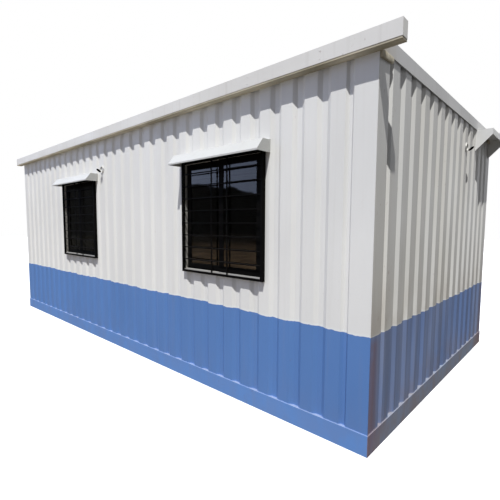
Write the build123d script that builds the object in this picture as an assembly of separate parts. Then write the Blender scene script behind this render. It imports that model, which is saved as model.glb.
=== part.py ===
from build123d import *
import math
import os

# Portable site cabin on a steel channel base: pressed steel cladding, flat roof with folded
# edge flashings, two barred windows under rain hoods, and a plain door on the far side.
# Origin: middle of the cabin on the underside of the base. X runs along the cabin,
# the wall with two windows faces -Y, and Z is up. All sizes are in millimetres.

# Overall size, over the outermost ribs of the cladding
cabin_length = 6096.0
cabin_width = 3048.0

# Channel base and floor
base_height = 134.0
base_flange = 60.0
base_web = 5.0
base_flange_thickness = 7.0
base_proud = 6.0
joist_spacing = 750.0
joist_flange = 50.0
joist_thickness = 6.0
floor_thickness = 18.0

# Pressed wall sheet: flat crests, sloped flanks and flat-bottomed grooves
sheet = 2.0
rib_depth = 17.0
rib_pitch = 192.0
groove_width = 98.0
flank_run = 30.0
corner_flat = 147.0
first_groove_width = 54.0
first_groove_bottom = 22.0
second_groove_start = 303.0
last_flat_least = 115.0

# Inner wall, posts and roof structure
inner_wall_thickness = 50.0
post_size = 50.0
post_wall = 4.0
rail_height = 40.0
rafter_depth = 80.0
rafter_width = 40.0
rafter_spacing = 745.0
ceiling_thickness = 10.0

# Roof edge and roof sheet
fascia_low = 2380.0
fascia_height = 92.0
long_overhang = 66.0
end_overhang = 10.0
eave_reach = 150.0
fascia_top_lip = 60.0
fascia_low_lip = 22.0
soffit_thickness = 12.0
roof_rib_height = 20.0
roof_rib_width = 60.0
roof_rib_flank = 20.0
roof_rib_pitch = 310.0

# Windows, all of one size, by the distance of their middle from the near corner
window_width = 948.0
window_height = 965.0
window_low = 987.0
window_centres = (1298.0, 3977.0)
frame_proud = 14.0
frame_bar = 24.0
sash_proud = 8.0
sash_bar = 45.0
sash_depth = 14.0
sash_gap = 3.0
sash_overlap = 90.0
sash_meeting_shift = 32.0
glass_thickness = 5.0

# Security grille: a steel angle round the window frame, with bars across its back
grille_proud = 33.0
grille_plate = 4.0
grille_leg = 20.0
grille_fit = 1.0
grille_bar = 9.0
grille_bar_depth = 7.0
grille_bar_pitch = 105.0
grille_upright = 12.0
grille_upright_depth = 6.0
grille_upright_spacing = 184.0

# Rain hoods over the windows and the door, all of one section
hood_width = 1032.0
hood_projection = 140.0
hood_flat = 80.0
hood_rise = 88.0
hood_lip = 12.0
hood_cover = 38.0

# Door on the far side, closed
door_width = 860.0
door_header = 166.0
door_centre = 1298.0
door_frame_bar = 40.0
door_leaf_thickness = 40.0
door_recess = 15.0

# Small canopy at the far end of the short wall
canopy_corner_gap = 83.0
canopy_length = 620.0
canopy_projection = 150.0
canopy_low = 2172.0
canopy_plate = 3.0

# Service elbows: short pipes out of the wall, turned down, on a round flange
elbow_radius = 30.0
elbow_wall = 3.0
elbow_stub = 10.0
elbow_bend = 36.0
elbow_flange = 14.0
elbow_flange_thickness = 4.0
front_elbow_distance = 3328.0
front_elbow_drop = 340.0
end_elbow_distance = 1988.0
end_elbow_drop = 225.0

half_length = cabin_length / 2
half_width = cabin_width / 2
skin_depth = rib_depth + sheet
wall_depth = skin_depth + inner_wall_thickness
floor_top = base_height + floor_thickness
fascia_top = fascia_low + fascia_height
rib_top = fascia_top - sheet
roof_under = rib_top - roof_rib_height - sheet
rafter_low = roof_under - rafter_depth
inner_top = rafter_low - rail_height
ceiling_low = rafter_low - ceiling_thickness
inner_x = half_length - skin_depth
inner_y = half_width - skin_depth
room_x = half_length - wall_depth
room_y = half_width - wall_depth
window_top = window_low + window_height
grille_edge = grille_plate + grille_fit
window_hole_width = window_width - 2 * grille_edge
window_hole_low = window_low + grille_edge
window_hole_top = window_top - grille_edge
hood_low = window_top - hood_cover
door_top = inner_top - door_header

os.makedirs("parts", exist_ok=True)


def save(name, shape):
    shape.label = name
    export_step(shape, f"parts/{name}.step")


def block(x_low, x_high, y_low, y_high, z_low, z_high):
    solid = Box(x_high - x_low, y_high - y_low, z_high - z_low)
    return Pos((x_low + x_high) / 2, (y_low + y_high) / 2, (z_low + z_high) / 2) * solid


def upright(points, z_low, z_high):
    outline = make_face(Polyline(*points, close=True))
    return Pos(0, 0, z_low) * extrude(outline, z_high - z_low, dir=(0, 0, 1))


def half_turn(shape):
    return Rot(0, 0, 180) * shape


# Every wall piece is drawn for the window wall or for the short wall beside it. A distance
# along the wall is measured from the corner that these two share, and a depth into the wall
# from its crests. The two opposite walls are the same pieces after half a turn.


def on_front(distance, depth):
    return (half_length - distance, -half_width + depth)


def on_end(distance, depth):
    return (half_length - depth, -half_width + distance)


def front_block(near, far, outer, inner, z_low, z_high):
    return block(half_length - far, half_length - near, outer - half_width, inner - half_width, z_low, z_high)


def end_block(near, far, outer, inner, z_low, z_high):
    return block(half_length - inner, half_length - outer, near - half_width, far - half_width, z_low, z_high)


# Base: four channels, webs outward, mitred at the corners


def base_ring(outer_x, outer_y, inner_x_size, inner_y_size, z_low, z_high):
    ring = block(-outer_x, outer_x, -outer_y, outer_y, z_low, z_high)
    return ring - block(-inner_x_size, inner_x_size, -inner_y_size, inner_y_size, z_low, z_high)


def base_channels():
    out_x = half_length + base_proud
    out_y = half_width + base_proud
    web = base_ring(out_x, out_y, out_x - base_web, out_y - base_web, 0, base_height)
    low = base_ring(out_x, out_y, out_x - base_flange, out_y - base_flange, 0, base_flange_thickness)
    high = Pos(0, 0, base_height - base_flange_thickness) * low
    ring = web + low + high
    ridge = out_x - out_y
    front_zone = [(-out_x, -out_y), (out_x, -out_y), (ridge, 0), (-ridge, 0)]
    right_zone = [(out_x, -out_y), (out_x, out_y), (ridge, 0)]
    front = ring & upright(front_zone, 0, base_height)
    right = ring & upright(right_zone, 0, base_height)
    save("base_channel_front", front)
    save("base_channel_back", half_turn(front))
    save("base_channel_right", right)
    save("base_channel_left", half_turn(right))


def spread(reach, spacing):
    count = max(2, round(2 * reach / spacing) + 1)
    return [-reach + 2 * reach * index / (count - 1) for index in range(count)]


def base_joists():
    reach_x = half_length + base_proud - base_flange - joist_flange / 2
    end_y = half_width + base_proud - base_web
    flange_edge = half_width + base_proud - base_flange
    thickness = base_flange_thickness
    joists = []
    for x in spread(reach_x - joist_spacing, joist_spacing):
        low_x = x - joist_flange / 2
        high_x = x + joist_flange / 2
        web = block(low_x, low_x + joist_thickness, -end_y, end_y, thickness, base_height - thickness)
        flanges = block(low_x, high_x, -flange_edge, flange_edge, 0, thickness)
        flanges += block(low_x, high_x, -flange_edge, flange_edge, base_height - thickness, base_height)
        middle = block(low_x, low_x + joist_thickness, -flange_edge, flange_edge, 0, base_height)
        joists.append(web + flanges + middle)
    save("base_joists", Compound(children=joists))


def floor_deck():
    deck = block(-inner_x, inner_x, -inner_y, inner_y, base_height, floor_top)
    for side_x in (-1, 1):
        for side_y in (-1, 1):
            near_x = side_x * inner_x
            near_y = side_y * inner_y
            far_x = near_x - side_x * post_size
            far_y = near_y - side_y * post_size
            deck -= block(min(near_x, far_x), max(near_x, far_x), min(near_y, far_y), max(near_y, far_y),
                          base_height, floor_top)
    save("floor_deck", deck)


def corner_posts():
    posts = []
    for side_x in (-1, 1):
        for side_y in (-1, 1):
            x = side_x * (inner_x - post_size / 2)
            y = side_y * (inner_y - post_size / 2)
            half = post_size / 2
            hollow = half - post_wall
            post = block(x - half, x + half, y - half, y + half, base_height, rafter_low)
            post -= block(x - hollow, x + hollow, y - hollow, y + hollow, base_height, rafter_low)
            posts.append(post)
    save("corner_posts", Compound(children=posts))


# Cladding: one pressed sheet for each wall, with a narrow first groove beside the near corner


def groove_list(length):
    first_end = corner_flat + first_groove_width
    first_low = corner_flat + (first_groove_width - first_groove_bottom) / 2
    grooves = [(corner_flat, first_low, first_low + first_groove_bottom, first_end)]
    start = second_groove_start
    while start + groove_width <= length - last_flat_least:
        end = start + groove_width
        grooves.append((start, start + flank_run, end - flank_run, end))
        start += rib_pitch
    return grooves


def sheet_profile(first, last, length):
    outer = [(first, 0.0)]
    inner = [(first, sheet)]
    for top_in, low_in, low_out, top_out in groove_list(length):
        slope = math.atan2(rib_depth, low_in - top_in)
        shift = sheet * math.tan(slope / 2)
        outer += [(top_in, 0.0), (low_in, rib_depth), (low_out, rib_depth), (top_out, 0.0)]
        inner += [(top_in - shift, sheet), (low_in - shift, skin_depth)]
        inner += [(low_out + shift, skin_depth), (top_out + shift, sheet)]
    outer.append((last, 0.0))
    inner.append((last, sheet))
    return outer + inner[::-1]


def front_sheet():
    points = [on_front(*point) for point in sheet_profile(0.0, cabin_length, cabin_length)]
    return upright(points, base_height, roof_under)


def end_sheet():
    points = [on_end(*point) for point in sheet_profile(sheet, cabin_width - sheet, cabin_width)]
    return upright(points, base_height, roof_under)


def window_hole(centre, outer, inner):
    half = window_hole_width / 2
    return front_block(centre - half, centre + half, outer, inner, window_hole_low, window_hole_top)


def door_hole(outer, inner):
    half = door_width / 2
    return front_block(door_centre - half, door_centre + half, outer, inner, floor_top, door_top)


back_window_centre = window_centres[1]


def cladding():
    front = front_sheet()
    for centre in window_centres:
        front -= window_hole(centre, -1, skin_depth)
    back = front_sheet() - window_hole(back_window_centre, -1, skin_depth) - door_hole(-1, skin_depth)
    save("cladding_front", front)
    save("cladding_back", half_turn(back))
    save("cladding_right", end_sheet())
    save("cladding_left", half_turn(end_sheet()))


# Inner walls: insulation with its lining board, between the posts and standing on the floor


def inner_walls():
    near = skin_depth + post_size
    front = front_block(near, cabin_length - near, skin_depth, wall_depth, floor_top, inner_top)
    back = front - window_hole(back_window_centre, skin_depth, wall_depth) - door_hole(skin_depth, wall_depth)
    for centre in window_centres:
        front -= window_hole(centre, skin_depth, wall_depth)
    right = end_block(near, cabin_width - near, skin_depth, wall_depth, floor_top, rafter_low)
    save("inner_wall_front", front)
    save("inner_wall_back", half_turn(back))
    save("inner_wall_right", right)
    save("inner_wall_left", half_turn(right))
    rail = front_block(near, cabin_length - near, skin_depth, wall_depth, inner_top, rafter_low)
    save("top_rails", Compound(children=[rail, half_turn(rail)]))


# Roof: rafters across the cabin, ceiling board under them and ribbed sheet on top


def rafters():
    beams = []
    for x in spread(inner_x - rafter_width / 2, rafter_spacing):
        half = rafter_width / 2
        beams.append(block(x - half, x + half, -inner_y, inner_y, rafter_low, roof_under))
    save("rafters", Compound(children=beams))


def ceiling():
    save("ceiling", block(-room_x, room_x, -room_y, room_y, ceiling_low, rafter_low))


def roof_sheet():
    edge_y = half_width + long_overhang - sheet
    edge_x = half_length + end_overhang - sheet
    rib_gap = 2 * edge_y - roof_rib_width
    count = max(2, round(rib_gap / roof_rib_pitch))
    step = rib_gap / count
    slope = math.atan2(roof_rib_height, roof_rib_flank)
    shift = sheet * math.tan(slope / 2)
    high = rib_top
    low = rib_top - roof_rib_height
    upper = [(-edge_y, high)]
    under = [(-edge_y, high - sheet)]
    for index in range(count):
        rib_end = -edge_y + roof_rib_width + index * step
        next_rib = rib_end - roof_rib_width + step
        upper += [(rib_end, high), (rib_end + roof_rib_flank, low)]
        upper += [(next_rib - roof_rib_flank, low), (next_rib, high)]
        under += [(rib_end - shift, high - sheet), (rib_end + roof_rib_flank - shift, low - sheet)]
        under += [(next_rib - roof_rib_flank + shift, low - sheet), (next_rib + shift, high - sheet)]
    upper.append((edge_y, high))
    under.append((edge_y, high - sheet))
    outline = make_face(Plane.YZ * Polyline(*(upper + under[::-1]), close=True))
    save("roof_sheet", Pos(-edge_x, 0, 0) * extrude(outline, 2 * edge_x, dir=(1, 0, 0)))


# Folded edge flashings: a face, a lip over the roof sheet and a return under the eaves.
# The long ones run past the short walls, where they close to a box, and the short ones butt
# between them.


def eave_box(side, depth, z_low, z_high):
    near = side * (half_length + end_overhang - sheet)
    far = side * (half_length + eave_reach)
    return block(min(near, far), max(near, far), -half_width - depth, -half_width, z_low, z_high)


def long_fascia():
    out_y = half_width + long_overhang
    far_x = half_length + eave_reach
    fascia = block(-far_x, far_x, -out_y, -out_y + sheet, fascia_low, fascia_top)
    fascia += block(-far_x, far_x, -out_y, -out_y + fascia_top_lip, fascia_top - sheet, fascia_top)
    fascia += block(-far_x, far_x, -out_y, -out_y + fascia_low_lip, fascia_low, fascia_low + sheet)
    for side in (-1, 1):
        fascia += eave_box(side, long_overhang, fascia_top - sheet, fascia_top)
        fascia += eave_box(side, sheet, fascia_low, fascia_top)
        near = side * (far_x - sheet)
        far = side * far_x
        fascia += block(min(near, far), max(near, far), -out_y, -half_width, fascia_low, fascia_top)
    return fascia


def end_fascia():
    out_x = half_length + end_overhang
    lip_y = half_width + long_overhang - fascia_top_lip
    low_lip = end_overhang - sheet
    fascia = block(out_x - sheet, out_x, -half_width, half_width, fascia_low, fascia_top)
    fascia += block(out_x - fascia_top_lip, out_x - sheet, -lip_y, lip_y, fascia_top - sheet, fascia_top)
    fascia += block(out_x - low_lip, out_x, -half_width, half_width, fascia_low, fascia_low + sheet)
    return fascia


def fascias():
    save("fascia_front", long_fascia())
    save("fascia_back", half_turn(long_fascia()))
    save("fascia_right", end_fascia())
    save("fascia_left", half_turn(end_fascia()))
    reach = half_length + eave_reach - sheet
    outer = half_width + long_overhang - sheet
    board = block(-reach, reach, -outer, -half_width, fascia_low - soffit_thickness, fascia_low)
    save("soffit_boards", Compound(children=[board, half_turn(board)]))


# Windows: a frame through the wall, two sliding sashes in two tracks, and a grille outside


def ring_on_front(near, far, outer, inner, z_low, z_high, bar):
    ring = front_block(near, far, outer, inner, z_low, z_high)
    return ring - front_block(near + bar, far - bar, outer, inner, z_low + bar, z_high - bar)


def window_frame(centre):
    near = centre - window_hole_width / 2
    far = centre + window_hole_width / 2
    return ring_on_front(near, far, -frame_proud, wall_depth, window_hole_low, window_hole_top, frame_bar)


def sash_edges(centre, which):
    half = window_hole_width / 2 - frame_bar
    meeting = centre - sash_meeting_shift
    if which == 0:
        return centre - half, meeting + sash_overlap / 2
    return meeting - sash_overlap / 2, centre + half


def sash_depths(which):
    outer = which * (sash_depth + sash_gap) - sash_proud
    return outer, outer + sash_depth


def sashes(centre):
    rings = []
    low = window_hole_low + frame_bar
    high = window_hole_top - frame_bar
    for which in (0, 1):
        near, far = sash_edges(centre, which)
        outer, inner = sash_depths(which)
        rings.append(ring_on_front(near, far, outer, inner, low, high, sash_bar))
    return rings


def panes(centre):
    sheets = []
    low = window_hole_low + frame_bar + sash_bar
    high = window_hole_top - frame_bar - sash_bar
    for which in (0, 1):
        near, far = sash_edges(centre, which)
        outer, inner = sash_depths(which)
        middle = (outer + inner) / 2
        half = glass_thickness / 2
        sheets.append(front_block(near + sash_bar, far - sash_bar, middle - half, middle + half, low, high))
    return sheets


def grille(centre):
    near = centre - window_width / 2
    far = centre + window_width / 2
    back = grille_plate - grille_proud
    angle = ring_on_front(near, far, -grille_proud, 0, window_low, window_top, grille_plate)
    angle += ring_on_front(near, far, -grille_proud, back, window_low, window_top, grille_leg)
    bar_back = back + grille_bar_depth
    span = window_height - grille_leg
    count = round(span / grille_bar_pitch)
    for index in range(1, count):
        low = window_low + (grille_leg - grille_bar) / 2 + span * index / count
        angle += front_block(near + grille_plate, far - grille_plate, back, bar_back, low, low + grille_bar)
    for side in (-1, 1):
        middle = centre + side * grille_upright_spacing / 2
        low = window_low + grille_plate
        angle += front_block(middle - grille_upright / 2, middle + grille_upright / 2, bar_back,
                             bar_back + grille_upright_depth, low, window_top - grille_plate)
    return angle


# Rain hood: level top, sloping front, small lip and closed ends, folded from one sheet


def hood_section(z_low, inset):
    slope = math.atan2(hood_rise - hood_lip, hood_projection - hood_flat)
    ease = inset * math.tan(slope / 2)
    front = -hood_projection + inset
    lip_ease = inset * math.tan((math.pi / 2 - slope) / 2)
    floor = z_low - (hood_rise if inset else 0)
    return [(inset, floor), (front, floor), (front, z_low + hood_lip - lip_ease),
            (-hood_flat + ease, z_low + hood_rise - inset), (inset, z_low + hood_rise - inset)]


def hood(centre, z_low):
    parts = []
    for inset in (0, sheet):
        points = [(depth - half_width, z) for depth, z in hood_section(z_low, inset)]
        outline = make_face(Plane.YZ * Polyline(*points, close=True))
        width = hood_width - 2 * inset
        parts.append(Pos(half_length - centre - width / 2, 0, 0) * extrude(outline, width, dir=(1, 0, 0)))
    return parts[0] - parts[1]


def windows():
    places = [("front_window_near", window_centres[0], False), ("front_window_far", window_centres[1], False),
              ("back_window", back_window_centre, True)]
    glass = []
    for name, centre, behind in places:
        turn = half_turn if behind else (lambda shape: shape)
        save(f"{name}_frame", turn(window_frame(centre)))
        save(f"{name}_sashes", Compound(children=[turn(ring) for ring in sashes(centre)]))
        save(f"{name}_grille", turn(grille(centre)))
        save(f"{name}_hood", turn(hood(centre, hood_low)))
        glass += [turn(pane) for pane in panes(centre)]
    save("window_glass", Compound(children=glass))


# Door on the far side: steel frame, flush leaf and its own hood


def door():
    near = door_centre - door_width / 2
    far = door_centre + door_width / 2
    bar = door_frame_bar
    frame = front_block(near, far, 0, wall_depth, floor_top, door_top)
    frame -= front_block(near + bar, far - bar, 0, wall_depth, floor_top, door_top - bar)
    leaf = front_block(near + bar, far - bar, door_recess, door_recess + door_leaf_thickness,
                       floor_top, door_top - bar)
    save("door_frame", half_turn(frame))
    save("door_leaf", half_turn(leaf))
    save("door_hood", half_turn(hood(door_centre, door_top)))


# Canopy on the short wall: a flat top and a lip on two triangular gussets


def canopy():
    high = fascia_low
    far = cabin_width - canopy_corner_gap
    near = far - canopy_length
    corner = canopy_low + canopy_projection
    top = end_block(near, far, -canopy_projection, 0, high - canopy_plate, high)
    lip = end_block(near, far, -canopy_projection, canopy_plate - canopy_projection, corner, high)
    points = [(half_length, canopy_low), (half_length + canopy_projection, corner),
              (half_length + canopy_projection, high), (half_length, high)]
    outline = make_face(Plane.XZ * Polyline(*points, close=True))
    gusset = extrude(outline, canopy_plate, dir=(0, 1, 0))
    near_gusset = Pos(0, near - half_width, 0) * gusset
    far_gusset = Pos(0, far - canopy_plate - half_width, 0) * gusset
    save("end_canopy", top + lip + near_gusset + far_gusset)


# Service elbows: a round flange on the cladding, a short stub and a quarter bend facing down


def elbow():
    flange = Cylinder(elbow_radius + elbow_flange, elbow_flange_thickness)
    stub = Cylinder(elbow_radius, elbow_stub)
    bore = Cylinder(elbow_radius - elbow_wall, elbow_stub)
    straight = Pos(0, 0, elbow_flange_thickness / 2) * flange + Pos(0, 0, elbow_stub / 2) * stub
    straight = Rot(90, 0, 0) * (straight - Pos(0, 0, elbow_stub / 2) * bore)
    section = make_face(Circle(elbow_radius).edges()) - make_face(Circle(elbow_radius - elbow_wall).edges())
    section = Pos(0, -elbow_stub, 0) * (Plane.XZ * section)
    bend = revolve(section, Axis((0, -elbow_stub, -elbow_bend), (1, 0, 0)), revolution_arc=90)
    return straight + bend


def elbows():
    front_x = half_length - front_elbow_distance
    save("service_elbow_front", Pos(front_x, -half_width, fascia_low - front_elbow_drop) * elbow())
    end_y = -half_width + end_elbow_distance
    save("service_elbow_right", Pos(half_length, end_y, fascia_low - end_elbow_drop) * Rot(0, 0, 90) * elbow())


base_channels()
base_joists()
floor_deck()
corner_posts()
cladding()
inner_walls()
rafters()
ceiling()
roof_sheet()
fascias()
windows()
door()
canopy()
elbows()
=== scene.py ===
# A steel site cabin, dressed in the order in which the real one is put together: base, floor
# and posts, pressed walls, roof, flashings, windows, door, canopy and fittings, then the place
# it is looked at in. Everything is in metres, in the frame of the cabin's own model.
import math
import random

import bmesh
import bpy
from mathutils import Euler, Matrix, Vector


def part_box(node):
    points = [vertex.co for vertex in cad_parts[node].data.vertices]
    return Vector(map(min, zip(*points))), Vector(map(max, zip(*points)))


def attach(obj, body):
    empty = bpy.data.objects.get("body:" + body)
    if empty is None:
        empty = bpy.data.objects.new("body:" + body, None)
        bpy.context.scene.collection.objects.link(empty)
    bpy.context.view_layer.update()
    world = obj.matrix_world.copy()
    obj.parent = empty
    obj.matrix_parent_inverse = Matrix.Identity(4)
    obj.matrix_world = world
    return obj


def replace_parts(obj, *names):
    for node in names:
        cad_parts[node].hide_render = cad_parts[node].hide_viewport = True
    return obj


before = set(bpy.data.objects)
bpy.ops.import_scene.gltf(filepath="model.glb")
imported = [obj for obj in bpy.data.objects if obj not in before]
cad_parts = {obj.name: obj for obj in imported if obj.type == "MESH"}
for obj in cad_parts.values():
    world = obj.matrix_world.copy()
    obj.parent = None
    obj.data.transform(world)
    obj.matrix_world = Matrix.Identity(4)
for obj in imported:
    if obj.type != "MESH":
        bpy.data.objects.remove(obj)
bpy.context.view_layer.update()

# Base channels: hot rolled steel channels with mitred, welded corners, brushed with the same
# blue enamel as the foot of the walls. They carry splashed earth near the ground and sunlit
# paint on the narrow ledge that stands out in front of the wall sheets.


def tone(red, green, blue):
    """A paint colour as a colour card gives it, 0 to 255, turned into what the shader reads."""
    parts = [value / 255 for value in (red, green, blue)]
    return tuple(part / 12.92 if part < 0.04 else ((part + 0.055) / 1.055) ** 2.4 for part in parts) + (1.0,)


def wire(tree, kind, sockets, **settings):
    """Adds one shader node. A socket given as another node's output is linked, the rest are set."""
    made = tree.nodes.new("ShaderNode" + kind)
    for key, value in settings.items():
        setattr(made, key, value)
    for key, value in sockets.items():
        if isinstance(value, bpy.types.NodeSocket):
            tree.links.new(value, made.inputs[key])
        else:
            made.inputs[key].default_value = value
    return made.outputs


def cloud(tree, scale, stretch=(1, 1, 1), detail=3.0, shift=0.0):
    """Soft uneven patches over a piece, from 0 to 1, at so many to the metre."""
    place = wire(tree, "TexCoord", {})["Object"]
    mapped = wire(tree, "Mapping", {"Vector": place, "Scale": stretch, "Location": (shift, shift, shift)})[0]
    return wire(tree, "TexNoise", {"Vector": mapped, "Scale": scale, "Detail": detail})[0]


def ramp(tree, value, start, end, low=0.0, high=1.0):
    sockets = {"Value": value, "From Min": start, "From Max": end, "To Min": low, "To Max": high}
    return wire(tree, "MapRange", sockets)[0]


def sums(tree, operation, first, second):
    return wire(tree, "Math", {0: first, 1: second}, operation=operation)[0]


def over(tree, amount, under, top):
    """One colour laid over another by an amount."""
    return wire(tree, "Mix", {0: amount, 6: under, 7: top}, data_type="RGBA")[2]


def new_material(name, roughness, metallic=0.0, specular=0.5):
    material = bpy.data.materials.new(name)
    material.use_nodes = True
    shader = material.node_tree.nodes["Principled BSDF"]
    shader.inputs["Roughness"].default_value = roughness
    shader.inputs["Metallic"].default_value = metallic
    shader.inputs["Specular IOR Level"].default_value = specular
    return material, material.node_tree, shader


def relief(tree, shader, layers):
    """Surface relief in layers of (pattern, depth in metres)."""
    below = None
    for pattern, depth in layers:
        sockets = {"Height": pattern, "Distance": depth, "Strength": 1.0}
        if below is not None:
            sockets["Normal"] = below
        below = wire(tree, "Bump", sockets)[0]
    tree.links.new(below, shader.inputs["Normal"])


def enamel(name, upper, lower=None, line=0.0, grime=0.25, dust_and_top_light=0.6, splash=0.0, rust=0.0, matt=0.42, tint=None,
           shade_on_flats=0.0, corner_cast=None):
    """Brushed gloss enamel on sheet steel: uneven film, rain streaks, rust pricks, dust on faces that look up which is
    also painted light on tops, and where asked painted shade on flat faces that look along the cabin.
    """
    material, tree, shader = new_material(name, matt, specular=0.22)
    shader.inputs["Coat Weight"].default_value = 0.05
    shader.inputs["Coat Roughness"].default_value = 0.25
    height = wire(tree, "SeparateXYZ", {0: wire(tree, "TexCoord", {})["Object"]})["Z"]
    film = cloud(tree, 2.1, (1, 1, 0.45), 4.0)
    colour = over(tree, ramp(tree, film, 0.35, 0.7), upper, tuple(0.93 * part for part in upper[:3]) + (1.0,))
    if lower:
        wave = ramp(tree, cloud(tree, 3.4, (1, 1, 0.2), 2.0), 0.3, 0.7, -0.007, 0.007)
        ragged = ramp(tree, cloud(tree, 34.0, (1, 1, 0.3), 2.0), 0.3, 0.7, -0.0025, 0.0025)
        edge = sums(tree, "ADD", height, sums(tree, "ADD", wave, ragged))
        blue = over(tree, ramp(tree, film, 0.35, 0.7), lower, tuple(0.91 * part for part in lower[:3]) + (1.0,))
        bare = ramp(tree, edge, line + 0.022, line + 0.004)
        fresh = over(tree, sums(tree, "MULTIPLY", bare, 0.35), colour, tone(236, 240, 242))
        colour = over(tree, ramp(tree, edge, line + 0.0012, line - 0.0012), fresh, blue)
    if tint:
        patch = ramp(tree, cloud(tree, 1.7, (1, 1, 0.35), 4.0, 3.0), 0.42, 0.66)
        colour = over(tree, sums(tree, "MULTIPLY", patch, tint[1]), colour, tint[0])
    # Painted shade: flat faces that look along the cabin, the flats of the short walls, are greyed to stand for the
    # weaker light they get. The grey is warmer low down, cooler high up, and lighter on the blue.
    if shade_on_flats:
        facing = wire(tree, "SeparateXYZ", {0: wire(tree, "NewGeometry", {})["Normal"]})["X"]
        flat = ramp(tree, sums(tree, "ABSOLUTE", facing, 0.0), 0.92, 0.98)
        flat = sums(tree, "MULTIPLY", flat, ramp(tree, height, line - 0.01, line + 0.01, 0.12, 1.0))
        flat_shade = over(tree, ramp(tree, height, 1.0, 2.2), tone(100, 90, 70), tone(84, 84, 86))
        colour = over(tree, sums(tree, "MULTIPLY", flat, shade_on_flats), colour, flat_shade)
        sooty = sums(tree, "MULTIPLY", ramp(tree, height, line + 0.34, line), ramp(tree, height, line, line + 0.01))
        sooty = sums(tree, "MULTIPLY", sooty, ramp(tree, cloud(tree, 7.0, (1, 1, 0.4), 5.0, 8.0), 0.4, 0.66))
        colour = over(tree, sums(tree, "MULTIPLY", sooty, 0.34), colour, tone(140, 124, 106))
        run = ramp(tree, cloud(tree, 17.0, (1, 1, 0.05), 5.0, 12.0), 0.44, 0.62)
        run = sums(tree, "MULTIPLY", run, ramp(tree, height, line + 0.005, line - 0.005))
        colour = over(tree, sums(tree, "MULTIPLY", run, 0.42), colour, tone(84, 96, 122))
    # A colour cast near the ends of a wall, kept below the paint line where there is one.
    if corner_cast:
        across = sums(tree, "ABSOLUTE", wire(tree, "SeparateXYZ", {0: wire(tree, "TexCoord", {})["Object"]})["Y"], 0.0)
        cast_near_corners = sums(tree, "MULTIPLY", ramp(tree, across, corner_cast[2], corner_cast[3]),
                       ramp(tree, cloud(tree, 8.0, (1, 1, 0.35), 5.0, 6.0), 0.34, 0.56))
        if lower:
            cast_near_corners = sums(tree, "MULTIPLY", cast_near_corners, ramp(tree, height, line, line - 0.05))
        colour = over(tree, sums(tree, "MULTIPLY", cast_near_corners, corner_cast[1]), colour, corner_cast[0])
    streak = ramp(tree, cloud(tree, 22.0, (1, 1, 0.035), 4.0, 7.0), 0.55, 0.78)
    colour = over(tree, sums(tree, "MULTIPLY", streak, grime), colour, tone(150, 143, 130))
    if splash:
        low_part = ramp(tree, height, 0.42, 0.0)
        thrown = ramp(tree, cloud(tree, 9.0, (1, 1, 0.6), 6.0, 2.0), 0.38, 0.62)
        amount = sums(tree, "MULTIPLY", sums(tree, "MULTIPLY", low_part, thrown), splash)
        colour = over(tree, amount, colour, tone(134, 112, 88))
    if rust:
        pricks = ramp(tree, cloud(tree, 46.0, (1, 1, 0.5), 5.0, 5.0), 0.66, 0.72)
        places = ramp(tree, cloud(tree, 1.9, (1, 1, 1), 2.0, 9.0), 0.56, 0.66)
        amount = sums(tree, "MULTIPLY", sums(tree, "MULTIPLY", pricks, places), rust)
        colour = over(tree, amount, colour, tone(122, 70, 42))
    # Dust settled on faces that look up. It is also painted light on tops: it dims pale tops that face the sun and
    # lightens the blue ledge of the base.
    up = wire(tree, "SeparateXYZ", {0: wire(tree, "NewGeometry", {})["Normal"]})["Z"]
    settled_dust_and_light = sums(tree, "MULTIPLY", ramp(tree, up, 0.45, 0.95), ramp(tree, cloud(tree, 5.0), 0.2, 0.7, 0.6, 1.0))
    colour = over(tree, sums(tree, "MULTIPLY", settled_dust_and_light, dust_and_top_light), colour, tone(176, 171, 161))
    tree.links.new(colour, shader.inputs["Base Color"])
    tree.links.new(ramp(tree, film, 0.3, 0.7, matt - 0.06, matt + 0.1), shader.inputs["Roughness"])
    dents = cloud(tree, 1.5, (1, 1, 0.6), 1.0, 4.0)
    brush = cloud(tree, 90.0, (1, 1, 0.08), 2.0, 1.0)
    relief(tree, shader, [(dents, 0.012), (brush, 0.0005)])
    return material


def coat(material, *nodes):
    """Gives pieces of the cabin's model their finish."""
    for name in nodes:
        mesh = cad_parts[name].data
        mesh.materials.clear()
        mesh.materials.append(material)


cabin_white = tone(228, 228, 225)
cabin_blue = tone(92, 131, 189)
dusty_blue = tone(106, 130, 177)
base_blue = enamel("base_enamel_long", tone(101, 143, 204), grime=0.08, dust_and_top_light=0.5, splash=0.12, rust=0.25)
# On the short channels the reddish cast near the corners is painted reflection of the ground.
base_dusty = enamel("base_enamel_short", tone(128, 143, 168), grime=0.2, dust_and_top_light=0.25, splash=0.45, rust=0.6,
                    tint=(tone(124, 104, 118), 0.25), corner_cast=(tone(120, 84, 92), 0.6, 1.2, 1.5))
coat(base_blue, "base_channel_front", "base_channel_back")
coat(base_dusty, "base_channel_left", "base_channel_right")


def on_the_bench():
    """Leaves edit mode with nothing selected, ready for the next piece."""
    if bpy.context.object and bpy.context.object.mode == "EDIT":
        bpy.ops.object.mode_set(mode="OBJECT")
    bpy.ops.object.select_all(action="DESELECT")


def take(piece):
    on_the_bench()
    piece.select_set(True)
    bpy.context.view_layer.objects.active = piece


def block(name, low, high):
    """Stock cut to size between two corners."""
    on_the_bench()
    size = Vector(high) - Vector(low)
    bpy.ops.mesh.primitive_cube_add(size=1, location=(Vector(high) + Vector(low)) / 2, scale=size)
    piece = bpy.context.object
    piece.name = name
    bpy.ops.object.transform_apply(location=True, rotation=True, scale=True)
    return piece


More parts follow.
